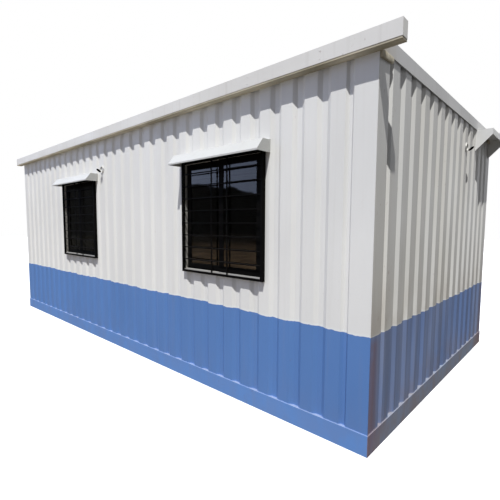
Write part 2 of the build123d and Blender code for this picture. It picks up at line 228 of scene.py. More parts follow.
def pick(piece, part, test):
    """Goes into edit mode with just the faces or edges that pass a test on their middle and normal."""
    take(piece)
    bpy.ops.object.mode_set(mode="EDIT")
    bpy.ops.mesh.select_mode(type=part)
    bpy.ops.mesh.select_all(action="DESELECT")
    mesh = bmesh.from_edit_mesh(piece.data)
    if part == "FACE":
        for face in mesh.faces:
            face.select_set(test(face.calc_center_median(), face.normal))
    else:
        for edge in mesh.edges:
            start, end = (corner.co for corner in edge.verts)
            edge.select_set(test((start + end) / 2, (end - start).normalized()))
    bmesh.update_edit_mesh(piece.data)


def soften(piece, width, segments=2, angle=50):
    """Breaks the sharp edges of a piece, then shades what is left round as round."""
    take(piece)
    modifier = piece.modifiers.new("edges", "BEVEL")
    modifier.width = width
    modifier.segments = segments
    modifier.limit_method = "ANGLE"
    modifier.angle_limit = math.radians(angle)
    bpy.ops.object.modifier_apply(modifier=modifier.name)
    bpy.ops.object.shade_smooth_by_angle(angle=math.radians(35))


def row(piece, count, step):
    """Repeats a piece in a straight line."""
    take(piece)
    modifier = piece.modifiers.new("row", "ARRAY")
    modifier.count = count
    modifier.use_relative_offset = False
    modifier.use_constant_offset = True
    modifier.constant_offset_displace = step
    bpy.ops.object.modifier_apply(modifier=modifier.name)


def another(piece, shift=(0, 0, 0), name=None):
    """A second piece like the first, with its own mesh, moved by a shift."""
    take(piece)
    bpy.ops.object.transform_apply(location=True, rotation=True, scale=True)
    bpy.ops.object.duplicate()
    made = bpy.context.object
    made.location = shift
    bpy.ops.object.transform_apply(location=True, rotation=True, scale=True)
    if name:
        made.name = name
    return made


def joined(name, pieces):
    """Several loose pieces made one."""
    on_the_bench()
    for piece in pieces:
        piece.select_set(True)
    bpy.context.view_layer.objects.active = pieces[0]
    if len(pieces) > 1:
        bpy.ops.object.join()
    made = bpy.context.object
    made.name = name
    return made


def turned(piece, name):
    """The same piece on the opposite wall, after half a turn of the cabin."""
    take(piece)
    bpy.ops.object.transform_apply(location=True, rotation=True, scale=True)
    bpy.ops.object.duplicate()
    made = bpy.context.object
    made.name = name
    bpy.ops.transform.rotate(value=math.pi, orient_axis="Z", center_override=(0, 0, 0))
    bpy.ops.object.transform_apply(location=True, rotation=True, scale=True)
    return made


def fitted(piece, material):
    """A finished piece: placed, painted and fixed to the cabin."""
    take(piece)
    bpy.ops.object.transform_apply(location=True, rotation=True, scale=True)
    piece.data.name = piece.name
    piece.data.materials.clear()
    piece.data.materials.append(material)
    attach(piece, "root")
    return piece


def bead(name, points, radius, facing=(0, math.radians(90), 0)):
    """A run of weld or sealant: a small round section drawn from point to point."""
    on_the_bench()
    bpy.ops.mesh.primitive_circle_add(vertices=8, radius=radius, fill_type="NGON", location=points[0], rotation=facing)
    piece = bpy.context.object
    piece.name = name
    bpy.ops.object.transform_apply(location=True, rotation=True, scale=True)
    bpy.ops.object.mode_set(mode="EDIT")
    bpy.ops.mesh.select_all(action="SELECT")
    for start, end in zip(points, points[1:]):
        bpy.ops.mesh.extrude_region_move(TRANSFORM_OT_translate={"value": Vector(end) - Vector(start)})
    bpy.ops.mesh.select_all(action="SELECT")
    bpy.ops.mesh.normals_make_consistent(inside=False)
    on_the_bench()
    take(piece)
    bpy.ops.object.shade_smooth_by_angle(angle=math.radians(50))
    return piece


# Welds of the base: one up each mitred corner, and one along the foot of every wall sheet,
# which follows the sheet in and out of its grooves on the channel's top flange.
wall_low, wall_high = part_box("cladding_front")
end_low, end_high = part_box("cladding_right")
base_low, base_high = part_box("base_channel_front")
half_length = wall_high.x
half_width = -wall_low.y
rib_depth = 0.017
rib_pitch = 0.192
corner_flat = 0.147
narrow_groove = (0.0, 0.016, 0.038, 0.054)
wide_groove = (0.0, 0.030, 0.068, 0.098)
first_wide_groove = 0.303
last_flat_least = 0.115
weld_radius = 0.002


def sheet_line(length):
    """Distance along a wall and depth into it, for each fold of its pressed sheet."""
    line = [(0.0, 0.0)]
    starts = [(corner_flat, narrow_groove)]
    start = first_wide_groove
    while start + wide_groove[3] <= length - last_flat_least:
        starts.append((start, wide_groove))
        start += rib_pitch
    for start, groove in starts:
        depths = (0.0, rib_depth, rib_depth, 0.0)
        line += [(start + along, depth) for along, depth in zip(groove, depths)]
    return line + [(length, 0.0)]


foot = base_high.z + weld_radius * 0.3
front_foot = [(half_length - along, depth - half_width - weld_radius * 0.2, foot) for along, depth in
              sheet_line(2 * half_length)]
end_foot = [(half_length - depth + weld_radius * 0.2, along - half_width, foot) for along, depth in
            sheet_line(2 * half_width)]
front_weld = bead("foot_weld_front", front_foot, weld_radius)
end_weld = bead("foot_weld_right", end_foot, weld_radius, (math.radians(90), 0, 0))
back_weld = turned(front_weld, "foot_weld_back")
left_weld = turned(end_weld, "foot_weld_left")
corner_points = [(base_high.x - 0.001, base_low.y + 0.001, z) for z in (0.004, base_high.z - 0.002)]
corner_weld = bead("base_corner_weld_a", corner_points, weld_radius, (0, 0, 0))
shift = (-2 * (base_high.x - 0.001), 0, 0)
second_weld = another(corner_weld, shift, "base_corner_weld_b")
base_welds = [front_weld, end_weld, back_weld, left_weld, corner_weld, second_weld,
              turned(corner_weld, "base_corner_weld_c"), turned(second_weld, "base_corner_weld_d")]
for piece in base_welds:
    on_long_wall = piece in (front_weld, back_weld)
    fitted(piece, base_blue if on_long_wall else base_dusty)

# Joists, posts, rails and rafters: rolled and square steel sections left in red-brown primer,
# with mill scale and rust showing through, since none of them is seen once the cabin is shut.


def primer(name):
    material, tree, shader = new_material(name, 0.7)
    rusty = ramp(tree, cloud(tree, 7.0, (1, 1, 1), 6.0), 0.45, 0.62)
    colour = over(tree, rusty, tone(124, 62, 48), tone(96, 58, 40))
    colour = over(tree, ramp(tree, cloud(tree, 60.0, (1, 1, 1), 3.0), 0.62, 0.7, 0.0, 0.6), colour, tone(70, 62, 58))
    tree.links.new(colour, shader.inputs["Base Color"])
    relief(tree, shader, [(cloud(tree, 160.0, (1, 1, 1), 4.0), 0.0006)])
    return material


coat(primer("red_primer"), "base_joists", "corner_posts", "top_rails", "rafters")

# Floor and lining: a cement-bonded floor board, and pale laminated boards on the walls and the
# ceiling. Thin cover strips close the joints between boards of 1.22 m width.


def board(name, colour, second, grain, matt):
    material, tree, shader = new_material(name, matt)
    patch = ramp(tree, cloud(tree, grain, (1, 1, 0.3), 5.0), 0.35, 0.68)
    speck = ramp(tree, cloud(tree, 140.0, (1, 1, 1), 2.0), 0.6, 0.7, 0.0, 0.25)
    tree.links.new(over(tree, speck, over(tree, patch, colour, second), tone(90, 84, 76)), shader.inputs["Base Color"])
    relief(tree, shader, [(cloud(tree, 220.0, (1, 1, 1), 3.0), 0.0004)])
    return material


lining = board("laminated_lining", tone(204, 196, 178), tone(186, 178, 160), 3.0, 0.45)
coat(board("cement_floor_board", tone(132, 124, 112), tone(104, 98, 90), 6.0, 0.8), "floor_deck")
coat(lining, "inner_wall_front", "inner_wall_back", "inner_wall_left", "inner_wall_right", "ceiling")
board_width = 1.22
strip_width = 0.03
strip_depth = 0.003
lining_low, lining_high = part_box("inner_wall_back")
ceiling_low, ceiling_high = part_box("ceiling")
strip_x = ceiling_low.x + board_width
ceiling_strips = block("ceiling_joint_strips", (strip_x - strip_width / 2, ceiling_low.y, ceiling_low.z - strip_depth),
                       (strip_x + strip_width / 2, ceiling_high.y, ceiling_low.z))
soften(ceiling_strips, 0.001, 1)
row(ceiling_strips, 4, (board_width, 0, 0))
fitted(ceiling_strips, lining)
end_lining_low, end_lining_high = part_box("inner_wall_left")
end_strips = block("left_wall_joint_strips",
                   (end_lining_high.x, -board_width / 2 - strip_width / 2, end_lining_low.z),
                   (end_lining_high.x + strip_depth, -board_width / 2 + strip_width / 2, ceiling_low.z - strip_depth))
soften(end_strips, 0.001, 1)
row(end_strips, 2, (0, board_width, 0))
right_strips = turned(end_strips, "right_wall_joint_strips")
fitted(end_strips, lining)
fitted(right_strips, lining)

# Pressed wall sheets: trapezoidal steel sheet, folded into flat crests and grooves, welded at
# the corners and brushed on site in two colours, white above a wavering line and blue below.
# The short walls are dirtier, with a brown cast low down where rain throws up the red earth. Their flats are greyed as
# painted shade, and the blue near their corners carries a reddish painted reflection of the ground.
paint_line = 0.737
long_wall = enamel("wall_enamel_long", cabin_white, cabin_blue, paint_line, grime=0.08, splash=0.1, rust=0.15)
short_wall = enamel("wall_enamel_short", cabin_white, dusty_blue, paint_line, grime=0.16, splash=0.4, rust=0.3,
                    tint=(tone(190, 178, 150), 0.16), shade_on_flats=0.27, corner_cast=(tone(126, 92, 86), 0.55, 1.38, 1.47))
coat(long_wall, "cladding_front", "cladding_back")
coat(short_wall, "cladding_left", "cladding_right")
eaves_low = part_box("soffit_boards")[0].z
corner_points = [(half_length - 0.0008, -half_width + 0.0008, z) for z in (base_high.z, paint_line, eaves_low)]
near_seam = bead("corner_seam_near", corner_points, weld_radius, (0, 0, 0))
left_seam = another(near_seam, (-2 * (half_length - 0.0008), 0, 0), "corner_seam_front_left")
for piece in (near_seam, left_seam, turned(near_seam, "corner_seam_back_left"),
              turned(left_seam, "corner_seam_back_right")):
    fitted(piece, long_wall)

# Roof sheet: ribbed sheet laid with its ribs along the cabin, held by hexagon-headed screws on washers in its valleys,
# one at each rafter. Its white is greyed partly by dust and partly as painted shade, so that the top that faces the
# full sun does not glare.
roof_finish = enamel("roof_enamel", tone(172, 172, 169), grime=0.55, dust_and_top_light=0.45, rust=0.9, matt=0.5,
                     tint=(tone(146, 140, 128), 0.6))
coat(roof_finish, "roof_sheet")
roof_low, roof_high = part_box("roof_sheet")
rib_height = 0.020
roof_rib_width = 0.060
roof_ribs = 10
rafter_low, rafter_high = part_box("rafters")
rafter_width = 0.040
rafters = 9
rafter_step = (rafter_high.x - rafter_low.x - rafter_width) / (rafters - 1)
valley_step = (roof_high.y - roof_low.y - roof_rib_width) / roof_ribs


def steel_screw(name, place, head=0.005, facing=(0, 0, 0)):
    """A hexagon head with its rubber-backed washer, pressed and threaded at the works."""
    on_the_bench()
    bpy.ops.mesh.primitive_cylinder_add(vertices=16, radius=head * 1.6, depth=0.0016, location=(0, 0, 0.0008))
    washer = bpy.context.object
    pick(washer, "FACE", lambda middle, normal: normal.z > 0.9)
    bpy.ops.mesh.inset(thickness=head * 0.5, depth=0.0006)
    on_the_bench()
    bpy.ops.mesh.primitive_cylinder_add(vertices=6, radius=head, depth=0.005, location=(0, 0, 0.0039))
    hexagon = bpy.context.object
    pick(hexagon, "FACE", lambda middle, normal: normal.z > 0.9)
    bpy.ops.mesh.bevel(offset=0.0008, segments=1)
    on_the_bench()
    made = joined(name, [washer, hexagon])
    made.rotation_euler = facing
    made.location = place
    bpy.ops.object.transform_apply(location=True, rotation=True, scale=True)
    return made


def zinc(name):
    material, tree, shader = new_material(name, 0.35, metallic=0.9)
    spangle = ramp(tree, cloud(tree, 120.0, (1, 1, 1), 2.0), 0.4, 0.6)
    colour = over(tree, spangle, tone(168, 170, 172), tone(132, 132, 130))
    rusty = ramp(tree, cloud(tree, 8.0, (1, 1, 1), 3.0), 0.55, 0.7, 0.0, 0.7)
    tree.links.new(over(tree, rusty, colour, tone(118, 74, 48)), shader.inputs["Base Color"])
    tree.links.new(ramp(tree, spangle, 0.0, 1.0, 0.3, 0.5), shader.inputs["Roughness"])
    return material


zinc_plate = zinc("zinc_plated_steel")
valley_y = roof_low.y + roof_rib_width + (valley_step - roof_rib_width) / 2
roof_screws = steel_screw("roof_screws", (rafter_low.x + rafter_width / 2, valley_y, roof_high.z - rib_height))
row(roof_screws, rafters, (rafter_step, 0, 0))
row(roof_screws, roof_ribs, (0, valley_step, 0))
fitted(roof_screws, zinc_plate)

# Edge flashings: white sheet folded over the roof's edge and back under the eaves, butted at
# the mitres. Pop rivets hold the long ones. Boards close the eaves below them, greyed and
# yellowed by damp, with their edges showing under the flashing.
trim_white = enamel("flashing_enamel", tone(226, 225, 221), grime=0.18, dust_and_top_light=0.75, rust=0.3, matt=0.45,
                    tint=(tone(196, 192, 184), 0.2))
# The short walls' flashing is a darker copy of the same white: painted shade for faces that get less sun.
end_trim_white = enamel("flashing_enamel_short", tone(202, 202, 202), grime=0.2, dust_and_top_light=0.75, rust=0.4, matt=0.45,
                        tint=(tone(190, 188, 182), 0.2), corner_cast=(tone(150, 132, 92), 0.5, 1.25, 1.5))
coat(trim_white, "fascia_front", "fascia_back")
coat(end_trim_white, "fascia_left", "fascia_right")
fascia_low, fascia_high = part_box("fascia_front")


def rivet(name, place, radius=0.0045, facing=(math.radians(90), 0, 0)):
    """The domed head of a blind rivet, with the dimple its pin leaves."""
    on_the_bench()
    bpy.ops.mesh.primitive_uv_sphere_add(segments=10, ring_count=6, radius=radius)
    piece = bpy.context.object
    piece.name = name
    pick(piece, "FACE", lambda middle, normal: True)
    bpy.ops.mesh.bisect(plane_co=(0, 0, 0), plane_no=(0, 0, 1), clear_inner=True, use_fill=True)
    bpy.ops.mesh.select_all(action="SELECT")
    bpy.ops.transform.resize(value=(1, 1, 0.5), center_override=(0, 0, 0))
    pick(piece, "FACE", lambda middle, normal: middle.z > radius * 0.4)
    bpy.ops.mesh.inset(thickness=radius * 0.08, depth=-radius * 0.12)
    on_the_bench()
    take(piece)
    bpy.ops.object.shade_smooth_by_angle(angle=math.radians(50))
    piece.rotation_euler = facing
    piece.location = place
    bpy.ops.object.transform_apply(location=True, rotation=True, scale=True)
    return piece


rivet_spacing = 0.6
rivet_count = 10
rivet_x = -rivet_spacing * (rivet_count - 1) / 2
fascia_rivets = rivet("flashing_rivets_front", (rivet_x, fascia_low.y, fascia_low.z + 0.022))
row(fascia_rivets, rivet_count, (rivet_spacing, 0, 0))
row(fascia_rivets, 2, (0, 0, 0.048))
fitted(turned(fascia_rivets, "flashing_rivets_back"), trim_white)
fitted(fascia_rivets, trim_white)


def weathered_board(name):
    material, tree, shader = new_material(name, 0.85)
    grain = cloud(tree, 30.0, (0.06, 1, 1), 5.0)
    colour = over(tree, ramp(tree, grain, 0.35, 0.65), tone(214, 207, 188), tone(184, 175, 152))
    damp = ramp(tree, cloud(tree, 2.6, (1, 1, 1), 4.0, 6.0), 0.42, 0.66, 0.0, 0.7)
    tree.links.new(over(tree, damp, colour, tone(132, 125, 102)), shader.inputs["Base Color"])
    relief(tree, shader, [(grain, 0.0015)])
    return material


eaves_board = weathered_board("weathered_eaves_board")
coat(eaves_board, "soffit_boards")
short_fascia_low, short_fascia_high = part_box("fascia_right")
packing_length = 0.165
packing_height = 0.044
packing_depth = 0.015
packing_start = -half_width + 0.003
packing = block("eaves_packing_right_near",
                (half_length, packing_start, short_fascia_low.z - packing_height),
                (half_length + packing_depth, packing_start + packing_length, short_fascia_low.z))
pick(packing, "FACE", lambda middle, normal: normal.y > 0.9)
bpy.ops.transform.resize(value=(1, 1, 0.72), center_override=(half_length, 0, short_fascia_low.z))
on_the_bench()
soften(packing, 0.0015, 2)
far_packing = another(packing, (0, half_width * 2 - 0.006 - packing_length, 0), "eaves_packing_right_far")
for piece in (packing, far_packing, turned(packing, "eaves_packing_left_far"),
              turned(far_packing, "eaves_packing_left_near")):
    fitted(piece, eaves_board)

# Windows: a powder coated aluminium frame through the wall, two black sliding sashes with rubber gaskets round their
# panes, and float glass with a dark tint. The tint is partly painted shade that keeps the room behind dark.


def powder_coat(name, colour, second, matt, specular=0.5):
    material, tree, shader = new_material(name, matt, specular=specular)
    patch = ramp(tree, cloud(tree, 5.0, (1, 1, 1), 4.0), 0.35, 0.68)
    dusty = over(tree, patch, colour, second)
    up = wire(tree, "SeparateXYZ", {0: wire(tree, "NewGeometry", {})["Normal"]})["Z"]
    tree.links.new(over(tree, ramp(tree, up, 0.5, 0.95, 0.0, 0.12), dusty, tone(150, 144, 134)),
                   shader.inputs["Base Color"])
    tree.links.new(ramp(tree, patch, 0.0, 1.0, matt - 0.05, matt + 0.12), shader.inputs["Roughness"])
    relief(tree, shader, [(cloud(tree, 700.0, (1, 1, 1), 2.0), 0.00012)])
    return material


frame_white = powder_coat("window_frame_coat", tone(180, 179, 175), tone(164, 161, 154), 0.4)
sash_coat = powder_coat("black_sash_coat", tone(9, 9, 9), tone(15, 14, 13), 0.6, 0.02)
rubber = powder_coat("gasket_rubber", tone(10, 10, 10), tone(16, 15, 14), 0.85, 0.02)
# The glass is tinted dark, partly as painted shade for the dark room behind.
glass, tree, shader = new_material("tinted_and_shaded_glass", 0.03)
shader.inputs["Transmission Weight"].default_value = 1.0
shader.inputs["IOR"].default_value = 1.45
film = ramp(tree, cloud(tree, 4.0, (1, 1, 0.5), 4.0), 0.4, 0.7)
tree.links.new(over(tree, film, tone(60, 63, 65), tone(54, 55, 54)), shader.inputs["Base Color"])
tree.links.new(ramp(tree, film, 0.0, 1.0, 0.01, 0.05), shader.inputs["Roughness"])
coat(glass, "window_glass")
openings = ("front_window_near", "front_window_far", "back_window")
for name in openings:
    coat(frame_white, name + "_frame")
    coat(sash_coat, name + "_sashes")

near_low, near_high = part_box("front_window_near_frame")
far_low, far_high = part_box("front_window_far_frame")
window_shift = Vector((far_low.x - near_low.x, 0, 0))
window_middle = (near_low.x + near_high.x) / 2
frame_bar = 0.024
sash_bar = 0.045
sash_depth = 0.014
sash_gap = 0.003
sash_proud = 0.008
sash_overlap = 0.090
meeting = window_middle + 0.032
glass_thickness = 0.005
gasket_width = 0.007


def ring(name, low, high, bar):
    """A flat closed frame in the plane of the long wall, one bar wide."""
    piece = block(name, low, high)
    pick(piece, "FACE", lambda middle, normal: abs(normal.y) > 0.9)
    bpy.ops.mesh.inset(thickness=bar, depth=0)
    bpy.ops.mesh.bridge_edge_loops()
    on_the_bench()
    return piece


gaskets_and_shade_strips = []
for which, (left, right) in enumerate(((meeting - sash_overlap / 2, near_high.x - frame_bar),
                                       (near_low.x + frame_bar, meeting + sash_overlap / 2))):
    outer = -half_width - sash_proud + which * (sash_depth + sash_gap)
    middle = outer + sash_depth / 2
    pane_low = (left + sash_bar, middle - glass_thickness / 2 - 0.003, near_low.z + frame_bar + sash_bar)
    pane_high = (right - sash_bar, middle - glass_thickness / 2, near_high.z - frame_bar - sash_bar)
    outside = ring("gasket", pane_low, pane_high, gasket_width)
    soften(outside, 0.001, 1)
    gaskets_and_shade_strips += [outside, another(outside, (0, glass_thickness + 0.003, 0))]
# Painted shade: black strips on the frame's face at the jambs and the head darken the frame where the hood and the
# grille's angle throw their shade on it.
shade_strip = 0.018
strip_face = near_low.y - 0.0025
for low_x, high_x, low_z, high_z in (
        (near_low.x + frame_bar - shade_strip, near_low.x + frame_bar, near_low.z + frame_bar, near_high.z - frame_bar),
        (near_high.x - frame_bar, near_high.x - frame_bar + shade_strip, near_low.z + frame_bar, near_high.z - frame_bar),
        (near_low.x + frame_bar - shade_strip, near_high.x - frame_bar + shade_strip,
         near_high.z - frame_bar, near_high.z - frame_bar + shade_strip)):
    strip = block("shade_strip", (low_x, strip_face, low_z), (high_x, near_low.y + 0.0002, high_z))
    soften(strip, 0.0008, 1)
    gaskets_and_shade_strips.append(strip)
near_gaskets_and_shade_strips = joined("front_window_near_gaskets_and_shade_strips", gaskets_and_shade_strips)
far_gaskets_and_shade_strips = another(near_gaskets_and_shade_strips, window_shift, "front_window_far_gaskets_and_shade_strips")
for piece in (near_gaskets_and_shade_strips, far_gaskets_and_shade_strips, turned(far_gaskets_and_shade_strips, "back_window_gaskets_and_shade_strips")):
    fitted(piece, rubber)

# Window grilles: a black enamelled steel angle round each opening, with flat bars across its
# back and two uprights behind them, all joined by small arc welds.
grille_finish = powder_coat("grille_enamel", tone(8, 8, 8), tone(15, 13, 12), 0.55, 0.03)
for name in openings:
    coat(grille_finish, name + "_grille")
grille_low, grille_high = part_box("front_window_near_grille")
grille_plate = 0.004
grille_leg = 0.020
bar_height = 0.009
bar_depth = 0.007
bar_pitches = 9
upright_reach = 0.092
bar_span = grille_high.z - grille_low.z - grille_leg
bar_step = bar_span / bar_pitches
first_bar = grille_low.z + grille_leg / 2 + bar_step
bar_front = grille_low.y + grille_plate
weld_places = [(grille_low.x + grille_plate, 0), (grille_high.x - grille_plate, 0),
               (window_middle - upright_reach, bar_depth), (window_middle + upright_reach, bar_depth)]
blobs = []
for along, depth in weld_places:
    on_the_bench()
    place = (along, bar_front + depth + 0.001, first_bar)
    bpy.ops.mesh.primitive_ico_sphere_add(subdivisions=2, radius=0.006, location=place)
    blob = bpy.context.object
    pick(blob, "FACE", lambda middle, normal: True)
    bpy.ops.transform.resize(value=(1, 0.7, 1.15), center_override=place)
    bpy.ops.transform.vertex_random(offset=0.0009, seed=len(blobs))
    on_the_bench()
    row(blob, bar_pitches - 1, (0, 0, bar_step))
    blobs.append(blob)
near_welds = joined("front_window_near_grille_welds", blobs)
far_welds = another(near_welds, window_shift, "front_window_far_grille_welds")
for piece in (near_welds, far_welds, turned(far_welds, "back_window_grille_welds")):
    fitted(piece, grille_finish)

# Rain hoods: one folded sheet each, with a level top, a sloping front, a hemmed lip and closed
# ends. A run of sealant closes each against the wall, and pop rivets hold its end plates.
# The hoods' white is a darker copy of the walls' white: painted shade for sheets that slope up to the sun.
hood_white = enamel("hood_enamel", tone(194, 195, 192), grime=0.12, dust_and_top_light=0.3, rust=0.2, matt=0.45)
coat(hood_white, "front_window_near_hood", "front_window_far_hood", "back_window_hood", "door_hood")
hood_low, hood_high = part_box("front_window_near_hood")
hem_radius = 0.003
hem_y = hood_low.y + hem_radius
hood_pieces = [bead("hem", [(hood_low.x + 0.001, hem_y, hood_low.z + hem_radius * 0.6),
                            (hood_high.x - 0.001, hem_y, hood_low.z + hem_radius * 0.6)], hem_radius)]
seal_y = -half_width - 0.002
hood_pieces.append(bead("seal", [(hood_low.x, seal_y, hood_high.z + 0.001), (hood_high.x, seal_y, hood_high.z + 0.001)],
                        0.005))
end_rivets = rivet("end_rivets", (hood_high.x, -half_width - 0.018, hood_low.z + 0.016), 0.004,
                   (0, math.radians(90), 0))
row(end_rivets, 2, (0, 0, 0.052))
hood_pieces.append(end_rivets)
mirror_rivets = rivet("mirror_rivets", (hood_low.x, -half_width - 0.018, hood_low.z + 0.016), 0.004,
                      (0, math.radians(-90), 0))
row(mirror_rivets, 2, (0, 0, 0.052))
hood_pieces.append(mirror_rivets)
near_trim = joined("front_window_near_hood_trim", hood_pieces)
far_trim = another(near_trim, window_shift, "front_window_far_hood_trim")
back_trim = turned(far_trim, "back_window_hood_trim")
door_hood_low, door_hood_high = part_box("door_hood")
back_hood_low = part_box("back_window_hood")[0]
door_trim = another(back_trim, door_hood_low - back_hood_low, "door_hood_trim")
for piece in (near_trim, far_trim, back_trim, door_trim):
    fitted(piece, hood_white)

# Door: a flush steel leaf with two pressed panels on three butt hinges, in a folded steel
# frame, with a lever handle over a round lock. It stands closed in the back wall.
door_white = enamel("door_enamel", tone(216, 216, 212), grime=0.2, dust_and_top_light=0.4, splash=0.4, rust=0.4, matt=0.4)
coat(door_white, "door_frame")
leaf_low, leaf_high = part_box("door_leaf")
leaf = block("door_leaf_pressed", leaf_low, leaf_high)
rail_height = leaf_low.z + 1.02
panel_margin = 0.11
panel_depth = 0.008
pick(leaf, "FACE", lambda middle, normal: True)
bpy.ops.mesh.bisect(plane_co=(0, 0, rail_height), plane_no=(0, 0, 1))
pick(leaf, "FACE", lambda middle, normal: abs(normal.y) > 0.9)
bpy.ops.mesh.inset(thickness=panel_margin, depth=0, use_individual=True)
bpy.ops.mesh.inset(thickness=panel_depth * 1.6, depth=-panel_depth, use_individual=True)
bpy.ops.mesh.inset(thickness=0.035, depth=0, use_individual=True)
bpy.ops.mesh.inset(thickness=panel_depth * 1.6, depth=panel_depth * 0.8, use_individual=True)
on_the_bench()
soften(leaf, 0.0018, 2, 25)
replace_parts(fitted(leaf, door_white), "door_leaf")
hinge_radius = 0.008
hinge_length = 0.1
hinge_x = leaf_high.x + 0.002
hinge_y = leaf_high.y + hinge_radius * 0.7
on_the_bench()
hinge_z = leaf_low.z + 0.22
bpy.ops.mesh.primitive_cylinder_add(vertices=14, radius=hinge_radius, depth=hinge_length, location=(hinge_x, hinge_y, hinge_z))
hinges = bpy.context.object
hinges.name = "door_hinges"
bpy.ops.object.transform_apply(location=True, rotation=True, scale=True)
for share in (0.2, 0.4, 0.6, 0.8):
    pick(hinges, "FACE", lambda middle, normal: True)
    bpy.ops.mesh.bisect(plane_co=(0, 0, hinge_z - hinge_length / 2 + share * hinge_length), plane_no=(0, 0, 1))
    bpy.ops.mesh.bevel(offset=0.0009, segments=2, affect="EDGES")
pick(hinges, "FACE", lambda middle, normal: abs(normal.z) > 0.9 and abs(middle.z - hinge_z) > hinge_length * 0.45)
bpy.ops.mesh.inset(thickness=0.002, depth=0.003)
on_the_bench()
take(hinges)
bpy.ops.object.shade_smooth_by_angle(angle=math.radians(35))
row(hinges, 3, (0, 0, (leaf_high.z - leaf_low.z - 0.44) / 2))
fitted(hinges, zinc_plate)
handle_x = leaf_low.x + 0.06
handle_z = leaf_low.z + 0.98
handle_y = leaf_high.y
plate = block("lock_plate", (handle_x - 0.02, handle_y, handle_z - 0.13), (handle_x + 0.02, handle_y + 0.003, handle_z + 0.05))
soften(plate, 0.0012, 2)
on_the_bench()
bpy.ops.mesh.primitive_cylinder_add(vertices=20, radius=0.009, depth=0.03, location=(handle_x, handle_y + 0.016, handle_z),
                                    rotation=(math.radians(90), 0, 0))
neck = bpy.context.object
bpy.ops.object.transform_apply(location=True, rotation=True, scale=True)
lever = block("lever", (handle_x - 0.009, handle_y + 0.027, handle_z - 0.008), (handle_x + 0.115, handle_y + 0.041, handle_z + 0.008))
pick(lever, "FACE", lambda middle, normal: normal.x > 0.9)
bpy.ops.transform.resize(value=(1, 0.7, 0.7), center_override=(handle_x + 0.115, handle_y + 0.034, handle_z))
bpy.ops.mesh.extrude_region_move(TRANSFORM_OT_translate={"value": (0.006, -0.022, 0)})
on_the_bench()
soften(lever, 0.003, 3)
on_the_bench()
bpy.ops.mesh.primitive_cylinder_add(vertices=20, radius=0.009, depth=0.008, location=(handle_x, handle_y + 0.006, handle_z - 0.085),
                                    rotation=(math.radians(90), 0, 0))
keyway = bpy.context.object
bpy.ops.object.transform_apply(location=True, rotation=True, scale=True)
pick(keyway, "FACE", lambda middle, normal: normal.y > 0.9)
bpy.ops.mesh.inset(thickness=0.0035, depth=0)
bpy.ops.mesh.inset(thickness=0.0008, depth=-0.004)
on_the_bench()
fitted(joined("door_handle", [plate, neck, lever, keyway]), zinc_plate)

kick_height = 0.17
kick_margin = 0.03
kick_low = Vector((leaf_low.x + kick_margin, leaf_high.y - 0.0002, leaf_low.z + kick_margin))
kick_high = Vector((leaf_high.x - kick_margin, leaf_high.y + 0.0015, leaf_low.z + kick_margin + kick_height))
kick_plate = block("kick_plate", kick_low, kick_high)
soften(kick_plate, 0.0006, 2)
kick_screws = steel_screw("kick_screws", (kick_low.x + 0.02, kick_high.y, kick_low.z + 0.02), 0.003,
                          (math.radians(-90), 0, 0))
row(kick_screws, 2, (0, 0, kick_height - 0.04))
row(kick_screws, 4, ((kick_high.x - kick_low.x - 0.04) / 3, 0, 0))
kick_grey = enamel("kick_plate_enamel", tone(132, 134, 135), grime=0.3, dust_and_top_light=0.4, splash=0.5, rust=0.5, matt=0.4)
fitted(joined("door_kick_plate", [kick_plate, kick_screws]), kick_grey)

# Canopy at the far end of the short wall: a flat plate and a lip on two triangular gussets, riveted through the lip.
canopy_white = enamel("canopy_enamel", tone(230, 230, 227), grime=0.12, dust_and_top_light=0.35, rust=0.25, matt=0.45)
coat(canopy_white, "end_canopy")
canopy_low, canopy_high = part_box("end_canopy")
canopy_rivets = rivet("canopy_rivets", (canopy_high.x - 0.003, canopy_low.y + 0.05, canopy_high.z - 0.02), 0.004,
                      (0, math.radians(90), 0))
row(canopy_rivets, 4, (0, (canopy_high.y - canopy_low.y - 0.1) / 3, 0))
fitted(canopy_rivets, canopy_white)

# Service elbows: moulded plastic bends that turn down to keep rain out of the cable entries.
# Each is screwed to a crest through its round flange.
elbow_plastic, tree, shader = new_material("elbow_plastic", 0.5)
yellowed = ramp(tree, cloud(tree, 14.0, (1, 1, 1), 4.0), 0.4, 0.65)
tree.links.new(over(tree, yellowed, tone(224, 224, 221), tone(206, 204, 197)), shader.inputs["Base Color"])
relief(tree, shader, [(cloud(tree, 300.0, (1, 1, 1), 2.0), 0.0003)])
elbow_radius = 0.030
elbow_wall = 0.003
elbow_stub = 0.010
elbow_bend = 0.036
elbow_mouth = 0.012
elbow_turn = math.radians(52)
flange_radius = 0.044
flange_depth = 0.004


